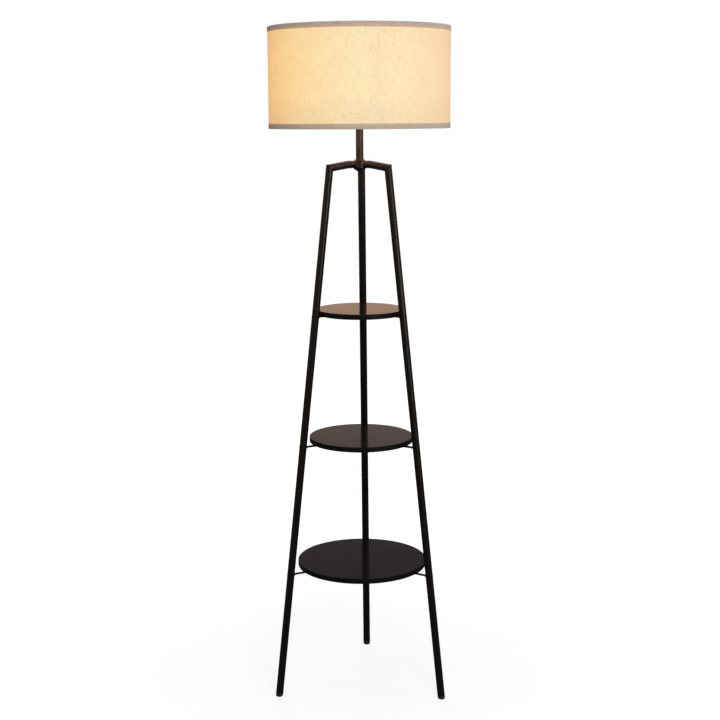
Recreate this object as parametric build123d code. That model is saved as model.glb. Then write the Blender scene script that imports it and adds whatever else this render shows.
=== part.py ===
from build123d import *
import os
from math import atan, cos, degrees, radians, sin, tan

# Shelf floor lamp. Millimetres, +Z up, floor at Z 0, the front faces -Y.
# Every piece is built about the lamp's own axis, and moved by AXIS_Y when it is written, so
# that the origin is the middle of the lamp's footprint on the floor.

# Whole lamp
OVERALL_HEIGHT = 1524.0
RUNNING_CLEARANCE = 0.05

# Tube and leg stance
TUBE_RADIUS = 8.5
TUBE_WALL = 1.2
TUBE_BORE = TUBE_RADIUS - TUBE_WALL
FOOT_CIRCLE_RADIUS = 217.8
LEG_LEAN = 0.1174
LEG_AZIMUTHS = {"rear": 90, "left": 210, "right": 330}

# Shelves, from the lowest up
SHELF_THICKNESS = 12.0
LOWEST_SHELF_TOP = 302.0
SHELF_PITCH = 297.5
SHELF_RADII = {"bottom": 150.0, "middle": 120.0, "top": 100.0}

# Shelf brackets and leg joints. The rods and pads are let into the undersides of the shelves.
ROD_RADIUS = 2.5
RECESS_DEPTH = 3.0
RECESS_PLAY = 0.3
EYELET_RADIUS = 9.0
EYELET_THICKNESS = 3.0
PAD_SETBACK = 12.0
PAD_RADIUS = 6.0
PAD_THICKNESS = 2.0
ROOT_WIDTH = 7.0
ROOT_LENGTH = 6.0
COUPLER_REACH = 13.0
COUPLER_BORE = 4.5

# Hub, its cap and the arms
ARM_HEIGHT = 1223.5
ARM_DROOP = 8.5
ARM_BEND_START = 29.0
ARM_BEND_RADIUS = 30.0
HUB_RADIUS = 15.5
HUB_TOP = 1232.0
HUB_BOTTOM = 1214.5
BOSS_RADIUS = 7.9
BOSS_END = 20.5
STUD_RADIUS = 4.95
STUD_HOLE = STUD_RADIUS + RUNNING_CLEARANCE
STUD_BORE = 3.5
ARM_STUD_INNER = 10.0
CHAMBER_RADIUS = 9.0
CHAMBER_TOP = 1221.5
CAP_RADIUS = 14.0
CAP_NOSE_RADIUS = 3.0
CAP_HEIGHT = 8.0
CAP_SPIGOT = 4.0

# Foot caps
FOOT_CAP_HEIGHT = 9.0
FOOT_PLUG_LENGTH = 14.0
FOOT_EDGE = 4.0

# Cord outlet, in the back of the rear leg
OUTLET_HEIGHT = 48.0
OUTLET_HOLE = 4.5
OUTLET_BORE = 3.25
OUTLET_FLANGE = 6.0
OUTLET_INNER = 6.1
OUTLET_OUTER = 10.1

# Post
POST_TOP = 1301.0
POST_FLARE_RADIUS = 10.3
POST_FLARE_HEIGHT = 4.5
POST_STUD_LENGTH = 10.0

# Lampholder, from the post up
HOLDER_CAP_RADIUS = 19.0
HOLDER_NECK_RADIUS = 10.0
HOLDER_NECK_TOP = 1304.0
HOLDER_CONE_TOP = 1311.0
HOLDER_SEAM = 1315.0
HOLDER_SHOULDER = 1337.0
HOLDER_TOP = 1363.0
SLEEVE_RADIUS = 16.4
SHELL_OUTER = 14.2
SHELL_INNER = 13.7
SHELL_FLOOR = 1341.0
CONTACT_WIDTH = 5.0
CONTACT_THICKNESS = 0.8

# Rotary switch
SWITCH_HEIGHT = 1326.0
SWITCH_SHAFT_RADIUS = 3.0
SWITCH_SHAFT_INNER = 8.0
KNOB_INNER = 21.0
KNOB_OUTER = 35.0
KNOB_RADIUS = 6.5
KNOB_FLUTES = 8
FLUTE_RADIUS = 1.2

# Shade
SHADE_RADIUS = 203.0
SHADE_HEIGHT = 221.0
SHADE_WALL = 1.2
TRIM_HEIGHT = 12.0
TRIM_THICKNESS = 0.6
RING_WIRE = 3.0
ARM_WIRE_RADIUS = 2.0
FITTER_HOLE = 16.6
FITTER_RADIUS = 22.0
FITTER_THICKNESS = 2.0
SHADE_ARM_AZIMUTHS = (30, 150, 270)
RETAINER_RADIUS = 21.0
RETAINER_HEIGHT = 8.0

# Bulb
BULB_SEAT = 1344.0
BULB_BASE_RADIUS = 13.2
BULB_BASE_HEIGHT = 26.0
BULB_TIP_RADIUS = 5.0
BULB_TIP_HEIGHT = 2.5
BULB_NECK_RADIUS = 12.4
BULB_NECK_LOW = 24.0
BULB_NECK_HIGH = 32.0
BULB_RADIUS = 30.0
BULB_WIDEST = (70.0, 86.0)
BULB_CROWN_RADIUS = 14.0
BULB_LENGTH = 110.0

LEG_SPLAY = degrees(atan(LEG_LEAN))
FOOT_REACH = FOOT_CIRCLE_RADIUS + TUBE_RADIUS / cos(radians(LEG_SPLAY))
AXIS_Y = (SHADE_RADIUS - FOOT_REACH) / 2
SHADE_BOTTOM = OVERALL_HEIGHT - SHADE_HEIGHT
SHELF_TOPS = {name: LOWEST_SHELF_TOP + i * SHELF_PITCH for i, name in enumerate(SHELF_RADII)}
SHELF_UNDERSIDES = {name: z - SHELF_THICKNESS for name, z in SHELF_TOPS.items()}
JOINT_HEIGHTS = {name: z + RECESS_DEPTH - ROD_RADIUS for name, z in SHELF_UNDERSIDES.items()}


def tube(outer, inner, low, high):
    """Hollow cylinder about the axis between two heights."""
    return Pos(0, 0, low) * (
        Cylinder(outer, high - low, align=(Align.CENTER, Align.CENTER, Align.MIN))
        - Cylinder(inner, high - low, align=(Align.CENTER, Align.CENTER, Align.MIN))
    )


def rod(radius, low, high):
    """Cylinder about the axis between two heights."""
    return Pos(0, 0, low) * Cylinder(radius, high - low, align=(Align.CENTER, Align.CENTER, Align.MIN))


def turned(*outline):
    """Solid of revolution about the axis from (radius, height) corners."""
    return revolve(Plane.XZ * make_face(Polyline(*outline, close=True)), Axis.Z)


def radial(radius, inner, outer, height, azimuth=0):
    """Cylinder that lies along a radius of the lamp."""
    return Rot(0, 0, azimuth) * Pos(inner, 0, height) * Rot(0, 90, 0) * rod(radius, 0, outer - inner)


def leg_radius(height):
    return FOOT_CIRCLE_RADIUS - LEG_LEAN * height


def on_leg(azimuth, height):
    """Frame on a leg's centreline, with Z up the leg and X away from the lamp's axis."""
    return Rot(0, 0, azimuth) * Pos(leg_radius(height), 0, height) * Rot(0, -LEG_SPLAY, 0)


def along_leg(low, high):
    """Length of leg between two heights."""
    return (high - low) / cos(radians(LEG_SPLAY))


# Legs


def straight_section(azimuth, low, high):
    """Tube between two leg joints, or from the foot cap to the first joint."""
    gap = EYELET_THICKNESS / 2
    start = along_leg(0, low) + (gap if low in JOINT_HEIGHTS.values() else 0)
    stop = along_leg(0, high) - gap
    return on_leg(azimuth, 0) * tube(TUBE_RADIUS, TUBE_BORE, start, stop)


def elbow_corner():
    """Where the centrelines of the drooping arm and the leg meet: radius, height."""
    slope = tan(radians(ARM_DROOP))
    foot = FOOT_CIRCLE_RADIUS - LEG_LEAN * (ARM_HEIGHT + ARM_BEND_START * slope)
    radius = foot / (1 - LEG_LEAN * slope)
    return radius, ARM_HEIGHT - (radius - ARM_BEND_START) * slope


def elbow_path(start, stop, bend):
    """Centreline of an upper leg: out from the hub, down the droop, and down the leg to stop."""
    corner = elbow_corner()
    knee = (ARM_BEND_START, ARM_HEIGHT)
    foot = (leg_radius(stop), stop)
    if bend:
        arm = FilletPolyline((start, ARM_HEIGHT), knee, corner, radius=bend)
        return Plane.XZ * (arm + Line(corner, foot))
    return Plane.XZ * Polyline((start, ARM_HEIGHT), knee, corner, foot)


def elbow(radius, start, stop, bend=None):
    """Round bar along the elbow's centreline, mitred at its corner."""
    section = Plane((start, 0, ARM_HEIGHT), x_dir=(0, 1, 0), z_dir=(1, 0, 0)) * Circle(radius)
    return sweep(section, path=elbow_path(start, stop, bend), transition=Transition.RIGHT)


def upper_leg(azimuth):
    """Arm and top leg section, with the hollow stud that screws into the hub."""
    stop = JOINT_HEIGHTS["top"] + EYELET_THICKNESS / 2 * cos(radians(LEG_SPLAY))
    plug = BOSS_END + TUBE_WALL
    piece = elbow(TUBE_RADIUS, BOSS_END, stop, ARM_BEND_RADIUS) - elbow(TUBE_BORE, plug, stop - TUBE_WALL)
    stud = radial(STUD_RADIUS, ARM_STUD_INNER, plug, ARM_HEIGHT)
    piece = piece + stud - radial(STUD_BORE, ARM_STUD_INNER, plug, ARM_HEIGHT)
    below = on_leg(0, JOINT_HEIGHTS["top"]) * Pos(0, 0, EYELET_THICKNESS / 2) * rod(2 * TUBE_RADIUS, -60, 0)
    return Rot(0, 0, azimuth) * (piece - below)


def couplers(azimuths, bore):
    """Spigots that join the leg sections through the eyelets of the brackets."""
    spigots = []
    for azimuth in azimuths:
        for height in JOINT_HEIGHTS.values():
            spigot = rod(TUBE_BORE - RUNNING_CLEARANCE, -COUPLER_REACH, COUPLER_REACH)
            if bore:
                spigot -= rod(bore, -COUPLER_REACH, COUPLER_REACH)
            spigots.append(on_leg(azimuth, height) * spigot)
    return Compound(spigots)


def foot_cap(azimuth):
    """Plug with a rounded skirt whose sole is level with the floor."""
    top = along_leg(0, FOOT_CAP_HEIGHT)
    outline = ((0, -TUBE_RADIUS), (TUBE_RADIUS, -TUBE_RADIUS), (TUBE_RADIUS, top),
               (TUBE_BORE - RUNNING_CLEARANCE, top), (TUBE_BORE - RUNNING_CLEARANCE, top + FOOT_PLUG_LENGTH),
               (0, top + FOOT_PLUG_LENGTH))
    cap = on_leg(0, 0) * turned(*outline)
    cap = split(cap, bisect_by=Plane.XY, keep=Keep.TOP)
    sole_edge = cap.edges().group_by(Axis.Z)[0]
    return Rot(0, 0, azimuth) * fillet(sole_edge, FOOT_EDGE)


def outlet_frame():
    """Frame on the back of the rear leg, with Z straight out of it."""
    return on_leg(LEG_AZIMUTHS["rear"], OUTLET_HEIGHT) * Rot(0, 90, 0)


def cord_grommet():
    """Bush with a saddle flange, through the wall of the rear leg."""
    body = rod(OUTLET_HOLE - RUNNING_CLEARANCE, OUTLET_INNER, OUTLET_OUTER)
    flange = rod(OUTLET_FLANGE, TUBE_BORE, OUTLET_OUTER)
    leg = Rot(0, 90, 0) * Cylinder(TUBE_RADIUS + RUNNING_CLEARANCE, 4 * OUTLET_FLANGE)
    return outlet_frame() * (body + (flange - leg) - rod(OUTLET_BORE, 0, OUTLET_OUTER))


def write_legs():
    joints = list(JOINT_HEIGHTS.values())
    sections = {"lower": (FOOT_CAP_HEIGHT, joints[0]), "second": (joints[0], joints[1]),
                "third": (joints[1], joints[2])}
    for side, azimuth in LEG_AZIMUTHS.items():
        for name, (low, high) in sections.items():
            piece = straight_section(azimuth, low, high)
            if (side, name) == ("rear", "lower"):
                piece -= outlet_frame() * rod(OUTLET_HOLE, 0, 2 * TUBE_RADIUS)
            write(piece, f"{name}_leg_{side}")
        write(upper_leg(azimuth), f"upper_leg_{side}")
    write(couplers([LEG_AZIMUTHS["left"], LEG_AZIMUTHS["right"]], None), "front_leg_couplers")
    write(couplers([LEG_AZIMUTHS["rear"]], COUPLER_BORE), "rear_leg_couplers")
    write(Compound([foot_cap(azimuth) for azimuth in LEG_AZIMUTHS.values()]), "foot_caps")
    write(cord_grommet(), "cord_grommet")


# Shelves


def pad_outline(level, play=0.0):
    """Round-ended outline of a bracket's pad, on the underside of its shelf."""
    blade = SlotCenterToCenter(2 * PAD_RADIUS, 2 * (PAD_RADIUS + play))
    return Pos(SHELF_RADII[level] - PAD_SETBACK - PAD_RADIUS, 0, SHELF_UNDERSIDES[level]) * blade


def bracket_recess(level):
    """Pocket and groove that take the pad and the rod of a bracket."""
    pocket = extrude(pad_outline(level, RECESS_PLAY), RECESS_DEPTH)
    width = 2 * (ROD_RADIUS + RECESS_PLAY)
    groove = Box(PAD_SETBACK, width, RECESS_DEPTH, align=(Align.MAX, Align.CENTER, Align.MIN))
    return pocket + Pos(SHELF_RADII[level], 0, SHELF_UNDERSIDES[level]) * groove


def shelf(level):
    """Round board, recessed from below for its brackets."""
    board = rod(SHELF_RADII[level], SHELF_UNDERSIDES[level], SHELF_TOPS[level])
    for azimuth in LEG_AZIMUTHS.values():
        board -= Rot(0, 0, azimuth) * bracket_recess(level)
    return board


def bracket(level, azimuth):
    """Eyelet in the leg joint, a rod towards the axis, and a flat pad in the shelf's recess."""
    height = JOINT_HEIGHTS[level]
    joint_at = leg_radius(height)
    eyelet = rod(EYELET_RADIUS, -EYELET_THICKNESS / 2, EYELET_THICKNESS / 2)
    tab = Pos(-EYELET_RADIUS, 0, 0) * Box(ROOT_LENGTH, ROOT_WIDTH, EYELET_THICKNESS)
    hole = rod(TUBE_BORE, -EYELET_THICKNESS, EYELET_THICKNESS)
    ring = on_leg(0, height) * (eyelet + tab - hole)
    stem = radial(ROD_RADIUS, SHELF_RADII[level] - PAD_SETBACK, joint_at - EYELET_RADIUS, height)
    pad = extrude(Pos(0, 0, RECESS_DEPTH - PAD_THICKNESS) * pad_outline(level), PAD_THICKNESS)
    return Rot(0, 0, azimuth) * (ring + stem + pad)


def write_shelves():
    for level in SHELF_RADII:
        write(shelf(level), f"{level}_shelf")
        arms = [bracket(level, azimuth) for azimuth in LEG_AZIMUTHS.values()]
        write(Compound(arms), f"{level}_shelf_brackets")


# Hub and post


def hub():
    """Turned body with three side bosses, cross-drilled for the studs and the wires."""
    body = rod(HUB_RADIUS, HUB_BOTTOM, HUB_TOP)
    for azimuth in LEG_AZIMUTHS.values():
        body += radial(BOSS_RADIUS, CHAMBER_RADIUS, BOSS_END, ARM_HEIGHT, azimuth)
    for azimuth in LEG_AZIMUTHS.values():
        body -= radial(STUD_HOLE, 0, BOSS_END, ARM_HEIGHT, azimuth)
    return body - rod(STUD_HOLE, HUB_BOTTOM, HUB_TOP) - rod(CHAMBER_RADIUS, HUB_BOTTOM, CHAMBER_TOP)


def hub_cap():
    """Cone that screws into the hub's wiring chamber."""
    spigot = CHAMBER_RADIUS - RUNNING_CLEARANCE
    nose = HUB_BOTTOM - CAP_HEIGHT
    return turned((0, nose), (CAP_NOSE_RADIUS, nose), (CAP_RADIUS, HUB_BOTTOM), (spigot, HUB_BOTTOM),
                  (spigot, HUB_BOTTOM + CAP_SPIGOT), (0, HUB_BOTTOM + CAP_SPIGOT))


def post():
    """Post with a flared foot and a hollow stud at each end."""
    flare_top = HUB_TOP + POST_FLARE_HEIGHT
    outline = ((0, HUB_TOP - POST_STUD_LENGTH), (STUD_RADIUS, HUB_TOP - POST_STUD_LENGTH),
               (STUD_RADIUS, HUB_TOP), (POST_FLARE_RADIUS, HUB_TOP), (TUBE_RADIUS, flare_top),
               (TUBE_RADIUS, POST_TOP), (STUD_RADIUS, POST_TOP),
               (STUD_RADIUS, POST_TOP + POST_STUD_LENGTH), (0, POST_TOP + POST_STUD_LENGTH))
    bore = rod(STUD_BORE, HUB_TOP - POST_STUD_LENGTH, POST_TOP + POST_STUD_LENGTH)
    cavity = rod(TUBE_BORE, flare_top, POST_TOP - POST_FLARE_HEIGHT)
    return turned(*outline) - bore - cavity


def write_stand():
    write(hub(), "hub")
    write(hub_cap(), "hub_cap")
    write(post(), "post")


# Lampholder and switch


def holder_cap():
    """Cover that screws onto the post's upper stud."""
    return turned((STUD_HOLE, POST_TOP), (HOLDER_NECK_RADIUS, POST_TOP),
                  (HOLDER_NECK_RADIUS, HOLDER_NECK_TOP), (HOLDER_CAP_RADIUS, HOLDER_CONE_TOP),
                  (HOLDER_CAP_RADIUS, HOLDER_SEAM), (STUD_HOLE, HOLDER_SEAM))


def holder_body():
    """Switch housing with the threaded sleeve that the shade hangs on."""
    body = turned((0, HOLDER_SEAM), (HOLDER_CAP_RADIUS, HOLDER_SEAM), (HOLDER_CAP_RADIUS, HOLDER_SHOULDER),
                  (SLEEVE_RADIUS, HOLDER_SHOULDER), (SLEEVE_RADIUS, HOLDER_TOP), (SHELL_OUTER, HOLDER_TOP),
                  (SHELL_OUTER, SHELL_FLOOR), (0, SHELL_FLOOR))
    shaft_hole = radial(SWITCH_SHAFT_RADIUS + RUNNING_CLEARANCE, SWITCH_SHAFT_INNER, HOLDER_CAP_RADIUS + 1,
                        SWITCH_HEIGHT)
    return body - shaft_hole


def screw_shell():
    """Thin metal cup that takes the bulb's base."""
    outer = SHELL_OUTER - RUNNING_CLEARANCE
    wall = outer - SHELL_INNER
    return turned((BULB_TIP_RADIUS + 1, SHELL_FLOOR), (outer, SHELL_FLOOR), (outer, HOLDER_TOP - 1),
                  (SHELL_INNER, HOLDER_TOP - 1), (SHELL_INNER, SHELL_FLOOR + wall),
                  (BULB_TIP_RADIUS + 1, SHELL_FLOOR + wall))


def centre_contact():
    """Springy strip bent up from the floor of the lampholder to the bulb's tip."""
    low, high, thick = SHELL_FLOOR, BULB_SEAT, CONTACT_THICKNESS
    outline = Polyline((-4.5, low), (4, low), (4, low + thick), (-3, low + thick), (-1, high - thick),
                       (4, high - thick), (4, high), (-2, high), (-4.5, low + thick), close=True)
    return extrude(Plane.XZ * make_face(outline), CONTACT_WIDTH / 2, both=True)


def switch_knob():
    """Fluted knob on its shaft."""
    knob = rod(KNOB_RADIUS, 0, KNOB_OUTER - KNOB_INNER)
    for flute in PolarLocations(KNOB_RADIUS + FLUTE_RADIUS / 2, KNOB_FLUTES):
        knob -= flute * rod(FLUTE_RADIUS, 0, KNOB_OUTER - KNOB_INNER)
    shaft = rod(SWITCH_SHAFT_RADIUS, SWITCH_SHAFT_INNER - KNOB_INNER + 1, 0)
    return Pos(KNOB_INNER, 0, SWITCH_HEIGHT) * Rot(0, 90, 0) * (knob + shaft)


def retaining_ring():
    """Ring nut that clamps the shade's fitter ring on the lampholder's shoulder."""
    low = HOLDER_SHOULDER + FITTER_THICKNESS
    return tube(RETAINER_RADIUS, FITTER_HOLE - RUNNING_CLEARANCE, low, low + RETAINER_HEIGHT)


def bulb_glass():
    """Sealed globe, whose neck is cemented into the base."""
    low, high = BULB_WIDEST
    globe = turned((0, BULB_NECK_LOW), (BULB_NECK_RADIUS, BULB_NECK_LOW),
                   (BULB_NECK_RADIUS, BULB_NECK_HIGH), (BULB_RADIUS, low), (BULB_RADIUS, high),
                   (BULB_CROWN_RADIUS, BULB_LENGTH), (0, BULB_LENGTH))
    return Pos(0, 0, BULB_SEAT) * globe


def bulb_base():
    """Screw base with its insulated tip."""
    base = rod(BULB_TIP_RADIUS, 0, BULB_TIP_HEIGHT) + rod(BULB_BASE_RADIUS, BULB_TIP_HEIGHT, BULB_BASE_HEIGHT)
    neck = rod(BULB_NECK_RADIUS + RUNNING_CLEARANCE, BULB_NECK_LOW, BULB_BASE_HEIGHT)
    return Pos(0, 0, BULB_SEAT) * (base - neck)


def write_lampholder():
    write(holder_cap(), "lampholder_cap")
    write(holder_body(), "lampholder_body")
    write(screw_shell(), "screw_shell")
    write(centre_contact(), "centre_contact")
    write(switch_knob(), "switch_knob")
    write(retaining_ring(), "retaining_ring")
    write(bulb_glass(), "bulb_glass")
    write(bulb_base(), "bulb_base")


# Shade


def trim(low):
    """Band of tape around the outside of the shade's edge."""
    wall = SHADE_RADIUS - TRIM_THICKNESS
    return tube(SHADE_RADIUS, wall, low, low + TRIM_HEIGHT)


def wire_ring(centre_height):
    """Ring of square wire inside the shade's edge."""
    outer = SHADE_RADIUS - TRIM_THICKNESS - SHADE_WALL
    return tube(outer, outer - RING_WIRE, centre_height - RING_WIRE / 2, centre_height + RING_WIRE / 2)


def lower_frame():
    """Bottom ring, three sloping arms and the fitter ring, welded together."""
    ring_height = SHADE_BOTTOM + RING_WIRE / 2
    ring_radius = SHADE_RADIUS - TRIM_THICKNESS - SHADE_WALL - RING_WIRE / 2
    fitter_height = HOLDER_SHOULDER + FITTER_THICKNESS / 2
    fitter = tube(FITTER_RADIUS, FITTER_HOLE, HOLDER_SHOULDER, HOLDER_SHOULDER + FITTER_THICKNESS)
    frame = wire_ring(ring_height) + fitter
    rise = fitter_height - ring_height
    run = ring_radius - FITTER_RADIUS
    length = (rise**2 + run**2) ** 0.5
    slope = degrees(atan(rise / run))
    arm = Pos(FITTER_RADIUS - 1, 0, fitter_height) * Rot(0, 90 + slope, 0) * rod(ARM_WIRE_RADIUS, 0, length)
    for azimuth in SHADE_ARM_AZIMUTHS:
        frame += Rot(0, 0, azimuth) * arm
    return frame


def write_shade():
    wall = SHADE_RADIUS - TRIM_THICKNESS
    write(tube(wall, wall - SHADE_WALL, SHADE_BOTTOM, OVERALL_HEIGHT), "shade_wall")
    write(trim(SHADE_BOTTOM), "bottom_trim")
    write(trim(OVERALL_HEIGHT - TRIM_HEIGHT), "top_trim")
    write(wire_ring(OVERALL_HEIGHT - RING_WIRE / 2), "top_ring")
    write(lower_frame(), "shade_lower_frame")


def write(shape, node):
    """Move a piece from the lamp's axis to its place in the footprint, and write it."""
    export_step(Pos(0, AXIS_Y, 0) * shape, f"parts/{node}.step")


os.makedirs("parts", exist_ok=True)
write_legs()
write_shelves()
write_stand()
write_lampholder()
write_shade()
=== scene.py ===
import math

import bmesh
import bpy
from mathutils import Matrix, Vector


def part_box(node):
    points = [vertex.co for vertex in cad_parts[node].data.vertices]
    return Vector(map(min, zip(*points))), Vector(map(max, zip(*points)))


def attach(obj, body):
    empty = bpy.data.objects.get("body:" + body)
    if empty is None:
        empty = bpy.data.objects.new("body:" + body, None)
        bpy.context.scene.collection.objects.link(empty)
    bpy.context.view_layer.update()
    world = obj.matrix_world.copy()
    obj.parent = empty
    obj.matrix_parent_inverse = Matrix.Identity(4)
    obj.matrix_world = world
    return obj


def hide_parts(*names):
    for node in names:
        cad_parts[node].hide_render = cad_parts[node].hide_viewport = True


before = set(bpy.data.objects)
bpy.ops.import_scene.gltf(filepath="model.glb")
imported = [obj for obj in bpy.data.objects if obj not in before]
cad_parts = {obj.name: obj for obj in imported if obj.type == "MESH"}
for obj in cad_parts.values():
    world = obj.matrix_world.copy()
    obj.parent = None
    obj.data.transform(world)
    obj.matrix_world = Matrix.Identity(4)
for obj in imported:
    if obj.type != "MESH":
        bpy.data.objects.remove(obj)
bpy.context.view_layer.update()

# Shelf floor lamp. Lengths are in millimetres and heights from the floor, measured from the
# lamp's own axis; piece() turns them into metres in the frame.

MM = 0.001
SEGMENTS = 64
RIM_SEGMENTS = 192
SHADE_SEGMENTS = 240
ROUND_STEPS = 16
EASE_STEPS = 4
SHARP_ANGLE = math.radians(32)
MERGE_DISTANCE = 0.001

# Stand
TUBE_RADIUS = 8.5
TUBE_BORE = 7.3
TUBE_EASE = 0.35
FOOT_CIRCLE_RADIUS = 217.8
LEG_LEAN = 0.1174
LEG_AZIMUTHS = {"rear": 90, "left": 210, "right": 330}
FOOT_CAP_HEIGHT = 9.0
FOOT_RADIUS = 8.45
FOOT_EASE = 4.0
OUTLET_HEIGHT = 48.0
OUTLET_RADIUS = 3.25

# Hub and arms
ARM_HEIGHT = 1223.5
ARM_DROOP = math.radians(8.5)
ARM_START = 20.5
ARM_BEND_START = 29.0
ARM_BEND_RADIUS = 30.0
HUB_RADIUS = 15.5
BOSS_RADIUS = 7.9
BOSS_LENGTH = 18.0
POST_TOP = 1301.0

# Shelf brackets
ROD_RADIUS = 2.5
RECESS_DEPTH = 3.0
RECESS_PLAY = 0.3
EYELET_RADIUS = 9.0
EYELET_THICKNESS = 3.0
PAD_SETBACK = 12.0
PAD_RADIUS = 6.0
PAD_THICKNESS = 2.0
PAD_SQUARENESS = 5.0
PRESSED_FROM = 9.0
SOCKET_RADIUS = 1.25

# Lampholder, switch and bulb. The bulb's own heights are from its seat.
HOLDER_RADIUS = 19.0
HOUSING_LOW = 1315.0
FITTER_SEAT = 1337.0
SLEEVE_RADIUS = 16.1
SLEEVE_TOP = 1363.0
RING_BORE = 16.7
SWITCH_HEIGHT = 1326.0
SWITCH_REACH = 21.0
BULB_SEAT = 1344.0
BULB_RADIUS = 30.0
BULB_LENGTH = 110.0
BULB_NECK_RADIUS = 12.4
BULB_NECK_FROM = 24.0
BULB_SWELL_FROM = 27.0
BULB_THREAD_RADIUS = 12.75

# Shade
TAPE_WIDTH = 12.0
TAPE_OVER = 5.2
TAPE_INSIDE = 7.0
TAPE_THICKNESS = 0.5
LINEN_SETBACK = 0.7
LAP_ANGLE = math.radians(3.0)
# Where the painted shade of a lap in the liner runs up the glow, in millimetres along the wall from the
# front
LINER_LAP_SHADE_AT = 52.0
WIRE_RADIUS = 1.4
WIRE_INSET = 2.9
WIRE_DROP = 2.3
SHADE_ARM_RADIUS = 2.0
SHADE_ARM_AZIMUTHS = (30, 150, 270)

# Camera: its place in metres, its lens in millimetres and its turns in degrees
CAMERA_PLACE = (0.1610, -3.0903, 1.33395)
CAMERA_LENS = 68.28
CAMERA_HEADING = 3.016
CAMERA_DOWNWARD = 10.2
CAMERA_ROLL = -0.322

LEG_SPLAY = math.atan(LEG_LEAN)


def node_span(node):
    """Lowest and highest corner of a CAD node in millimetres, about the lamp's own axis."""
    low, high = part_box(node)
    return (low - AXIS) / MM, (high - AXIS) / MM


post_low, post_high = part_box("post")
AXIS = Vector((0, (post_low.y + post_high.y) / 2, 0))
SHELVES = {level: node_span(f"{level}_shelf") for level in ("bottom", "middle", "top")}
JOINTS = {level: low.z + RECESS_DEPTH - ROD_RADIUS for level, (low, high) in SHELVES.items()}
SHADE_LOW, SHADE_HIGH = (corner.z for corner in node_span("shade_wall"))
SHADE_RADIUS = -node_span("top_trim")[0].x
LINEN_RADIUS = node_span("shade_wall")[1].x


# Shader building


class Nodes:
    """Short calls for the nodes that a look is built from."""

    def __init__(self, tree):
        self.tree = tree

    def feed(self, socket, value):
        if isinstance(value, bpy.types.NodeSocket):
            self.tree.links.new(value, socket)
        elif value is not None:
            socket.default_value = value

    def node(self, kind, *inputs, **settings):
        made = self.tree.nodes.new("ShaderNode" + kind)
        for key, value in settings.items():
            setattr(made, key, value)
        for socket, value in zip(made.inputs, inputs):
            self.feed(socket, value)
        return made

    def math(self, operation, *values):
        return self.node("Math", *values, operation=operation).outputs[0]

    def total(self, *parts):
        """Sum of values, each given with its weight."""
        result = 0.0
        for value, weight in parts:
            result = self.math("MULTIPLY_ADD", value, weight, result)
        return result

    def product(self, *values):
        """All the values multiplied."""
        result = 1.0
        for value in values:
            result = self.math("MULTIPLY", result, value)
        return result

    def place(self):
        """The point on the object, in metres."""
        return self.node("TexCoord").outputs["Object"]

    def times(self, vector, *factors):
        """A vector or a colour, each part times its factor."""
        return self.node("VectorMath", vector, factors, operation="MULTIPLY").outputs[0]

    def noise(self, vector, scale=1.0, detail=2.0):
        made = self.node("TexNoise")
        self.feed(made.inputs["Vector"], vector)
        made.inputs["Scale"].default_value = scale
        made.inputs["Detail"].default_value = detail
        return made.outputs[0]

    def span(self, value, low, high, to_low=0.0, to_high=1.0):
        """Value from low to high, turned into to_low to to_high."""
        return self.node("MapRange", value, low, high, to_low, to_high).outputs[0]

    def mix(self, factor, first, second):
        made = self.node("Mix", data_type="RGBA")
        self.feed(made.inputs[0], factor)
        self.feed(made.inputs[6], first)
        self.feed(made.inputs[7], second)
        return made.outputs[2]

    def scaled(self, colour, factor):
        """A colour times a number."""
        if isinstance(colour, tuple):
            colour = colour[:3]
        made = self.node("VectorMath", colour, operation="SCALE")
        self.feed(made.inputs["Scale"], factor)
        return made.outputs[0]

    def bump(self, height, distance):
        """Relief whose height runs from 0 to 1 over the distance in millimetres."""
        made = self.node("Bump")
        made.inputs["Strength"].default_value = 1.0
        made.inputs["Distance"].default_value = distance * MM
        self.feed(made.inputs["Height"], height)
        return made.outputs[0]


class Shader(Nodes):
    """A material round its Principled shader."""

    def __init__(self, name):
        self.material = bpy.data.materials.new(name)
        self.material.use_nodes = True
        super().__init__(self.material.node_tree)
        self.surface = self.tree.nodes["Principled BSDF"]

    def set(self, **inputs):
        """Sets the Principled shader's inputs; base_color stands for Base Color."""
        names = {socket.name.lower().replace(" ", "_"): socket for socket in self.surface.inputs}
        for key, value in inputs.items():
            self.feed(names[key], value)


def rgb(*values):
    return (*values, 1.0)


def powder_coat():
    """Satin black powder coat with its fine orange peel."""
    s = Shader("powder_coat")
    peel = s.noise(s.place(), 1400, 2)
    cloud = s.noise(s.place(), 60, 3)
    colour = s.mix(cloud, rgb(0.0024, 0.0022, 0.0022), rgb(0.0041, 0.0037, 0.0036))
    s.set(base_color=colour, roughness=s.span(cloud, 0.3, 0.7, 0.27, 0.31), specular_ior_level=0.4,
          normal=s.bump(peel, 0.02))
    return s.material


def board_lacquer(name, dark, light, roughness, gloss):
    """Satin black lacquer over board, with a trace of the grain under it."""
    s = Shader(name)
    grain = s.noise(s.times(s.place(), 25, 900, 900), 1.0, 4)
    broad = s.noise(s.times(s.place(), 6, 60, 60), 1.0, 3)
    s.set(base_color=s.mix(grain, rgb(*dark), rgb(*light)), specular_ior_level=gloss)
    s.set(roughness=s.span(broad, 0.3, 0.7, roughness, roughness + 0.05), normal=s.bump(grain, 0.002))
    return s.material


def around_shade(s):
    """Coordinates on the shade's wall in metres: along it from the front, and up it."""
    point = s.node("VectorMath", s.place(), tuple(AXIS), operation="SUBTRACT").outputs[0]
    parts = s.node("SeparateXYZ", point)
    angle = s.math("ARCTAN2", parts.outputs[0], s.math("MULTIPLY", parts.outputs[1], -1.0))
    return s.math("MULTIPLY", angle, SHADE_RADIUS * MM), parts.outputs[2]


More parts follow.
